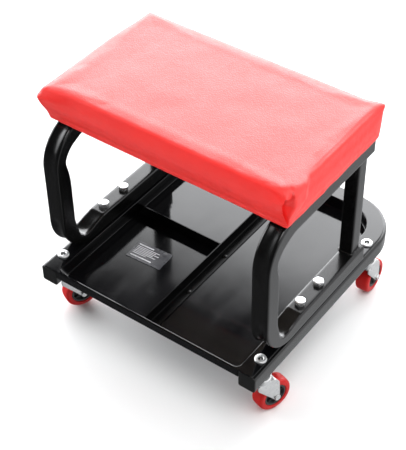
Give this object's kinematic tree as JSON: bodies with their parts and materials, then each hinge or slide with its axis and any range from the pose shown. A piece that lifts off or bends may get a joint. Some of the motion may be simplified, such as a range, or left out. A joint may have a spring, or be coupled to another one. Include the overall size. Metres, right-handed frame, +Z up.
{
  "type": "mechanics creeper seat",
  "caption": "Low rolling creeper seat: padded vinyl seat on bent square-tube side frames, with a divided tool tray sunk in a square-tube base on swivel casters.",
  "frame": {"origin": "on the ground, under the middle of the overall box", "axes": "+Z up; -Y is the front, where the side frames bend and the base is open; +X is the right side seen from the front"},
  "size_m": [0.3664, 0.3702, 0.3573],
  "materials": {
    "black_powder_coat": "semi-gloss black powder coat",
    "cap_plastic": "moulded black cap",
    "tray_plastic": "glossy black moulded sheet",
    "divider_steel": "black coated folded sheet",
    "label_film": "satin film label with no lettering",
    "red_vinyl": "semi-gloss grained red vinyl",
    "foam": "open cell foam",
    "plywood": "raw plywood",
    "bright_zinc": "bright zinc plate",
    "hub_plastic": "moulded black hub",
    "red_tyre": "red polyurethane tread"
  },
  "bodies": {
    "frame": {"base_tube": "black_powder_coat", "side_tube_left": "black_powder_coat", "side_tube_right": "black_powder_coat", "rear_leg_left": "black_powder_coat", "rear_leg_right": "black_powder_coat", "base_cap_left": "cap_plastic", "base_cap_right": "cap_plastic", "run_cap_left": "cap_plastic", "run_cap_right": "cap_plastic", "rail_cap_left": "cap_plastic", "rail_cap_right": "cap_plastic", "tool_tray": "tray_plastic", "long_divider": "divider_steel", "cross_divider": "divider_steel", "divider_rivet_1": "divider_steel", "divider_rivet_2": "divider_steel", "floor_label": "label_film", "frame_bolt_front_left": "bright_zinc", "frame_bolt_front_right": "bright_zinc", "frame_bolt_rear_left": "bright_zinc", "frame_bolt_rear_right": "bright_zinc", "frame_nut_front_left": "bright_zinc", "frame_nut_front_right": "bright_zinc", "frame_nut_rear_left": "bright_zinc", "frame_nut_rear_right": "bright_zinc", "seat_screw_front_left": "bright_zinc", "seat_screw_front_right": "bright_zinc", "seat_screw_rear_left": "bright_zinc", "seat_screw_rear_right": "bright_zinc", "seat_board": "plywood", "seat_foam": "foam", "seat_cover": "red_vinyl", "caster_screw_front_left": "bright_zinc", "caster_stud_front_left": "bright_zinc", "caster_screw_front_right": "bright_zinc", "caster_stud_front_right": "bright_zinc", "caster_screw_rear_left": "bright_zinc", "caster_stud_rear_left": "bright_zinc", "caster_screw_rear_right": "bright_zinc", "caster_stud_rear_right": "bright_zinc"},
    "caster_front_left": {"caster_fork_front_left": "bright_zinc", "axle_bolt_front_left": "bright_zinc", "axle_nut_front_left": "bright_zinc"},
    "wheel_front_left": {"wheel_hub_front_left": "hub_plastic", "wheel_tyre_front_left": "red_tyre"},
    "caster_front_right": {"caster_fork_front_right": "bright_zinc", "axle_bolt_front_right": "bright_zinc", "axle_nut_front_right": "bright_zinc"},
    "wheel_front_right": {"wheel_hub_front_right": "hub_plastic", "wheel_tyre_front_right": "red_tyre"},
    "caster_rear_left": {"caster_fork_rear_left": "bright_zinc", "axle_bolt_rear_left": "bright_zinc", "axle_nut_rear_left": "bright_zinc"},
    "wheel_rear_left": {"wheel_hub_rear_left": "hub_plastic", "wheel_tyre_rear_left": "red_tyre"},
    "caster_rear_right": {"caster_fork_rear_right": "bright_zinc", "axle_bolt_rear_right": "bright_zinc", "axle_nut_rear_right": "bright_zinc"},
    "wheel_rear_right": {"wheel_hub_rear_right": "hub_plastic", "wheel_tyre_rear_right": "red_tyre"}
  },
  "joints": [
    {"name": "swivel_front_left", "type": "hinge", "parent": "frame", "child": "caster_front_left", "pos_m": [-0.1608, -0.1543, 0.0711], "axis": [0, 0, 1], "continuous": true},
    {"name": "swivel_front_right", "type": "hinge", "parent": "frame", "child": "caster_front_right", "pos_m": [0.1608, -0.1543, 0.0711], "axis": [0, 0, 1], "continuous": true},
    {"name": "swivel_rear_left", "type": "hinge", "parent": "frame", "child": "caster_rear_left", "pos_m": [-0.1608, 0.1019, 0.0711], "axis": [0, 0, 1], "continuous": true},
    {"name": "swivel_rear_right", "type": "hinge", "parent": "frame", "child": "caster_rear_right", "pos_m": [0.1608, 0.1019, 0.0711], "axis": [0, 0, 1], "continuous": true},
    {"name": "roll_front_left", "type": "hinge", "parent": "caster_front_left", "child": "wheel_front_left", "pos_m": [-0.15285, -0.13726, 0.025], "axis": [-0.9063, 0.4226, 0], "continuous": true},
    {"name": "roll_front_right", "type": "hinge", "parent": "caster_front_right", "child": "wheel_front_right", "pos_m": [0.16661, -0.13642, 0.025], "axis": [-0.9511, 0.309, 0], "continuous": true},
    {"name": "roll_rear_left", "type": "hinge", "parent": "caster_rear_left", "child": "wheel_rear_left", "pos_m": [-0.16661, 0.11978, 0.025], "axis": [-0.9511, -0.309, 0], "continuous": true},
    {"name": "roll_rear_right", "type": "hinge", "parent": "caster_rear_right", "child": "wheel_rear_right", "pos_m": [0.15982, 0.12067, 0.025], "axis": [-0.9986, -0.0523, 0], "continuous": true}
  ]
}
